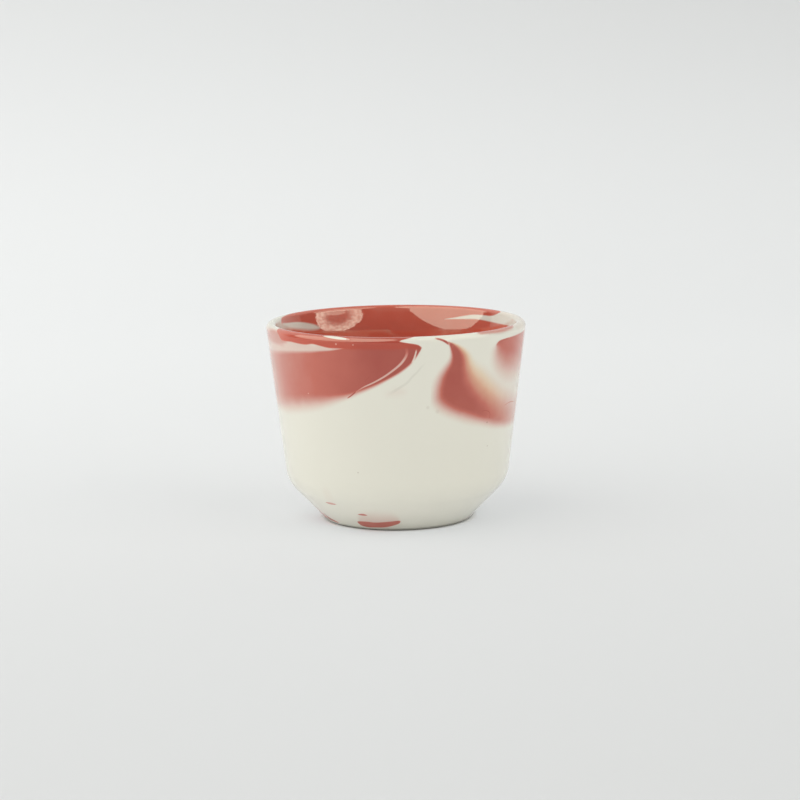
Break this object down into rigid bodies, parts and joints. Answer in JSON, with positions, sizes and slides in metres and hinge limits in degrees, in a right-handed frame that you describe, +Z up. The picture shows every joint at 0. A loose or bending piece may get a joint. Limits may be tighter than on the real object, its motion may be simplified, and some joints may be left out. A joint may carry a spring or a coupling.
{
  "type": "espresso cup",
  "caption": "Small handle-less espresso cup with a chamfered base, straight flared wall and rounded lip, in cream porcelain marbled with red slip.",
  "frame": {"origin": "middle of the plane that the foot ring rests on", "axes": "+Z up along the cup's axis, -Y towards the front with the forked red swirl and the hook, +X to the right of that view"},
  "size_m": [0.07, 0.07, 0.0536],
  "materials": {
    "cream_porcelain": "gloss clear glaze",
    "red_slip": "gloss clear glaze",
    "red_lining": "gloss clear glaze"
  },
  "bodies": {
    "root": {"cup_body": "cream_porcelain", "inner_lining": "red_lining", "left_swirl": "red_slip", "hook_swirl": "red_slip", "right_patch": "red_slip", "back_rim": "red_lining", "foot_pool": "red_slip", "foot_streak": "red_slip", "upper_dash": "red_slip", "lower_dash": "red_slip"}
  },
  "joints": []
}
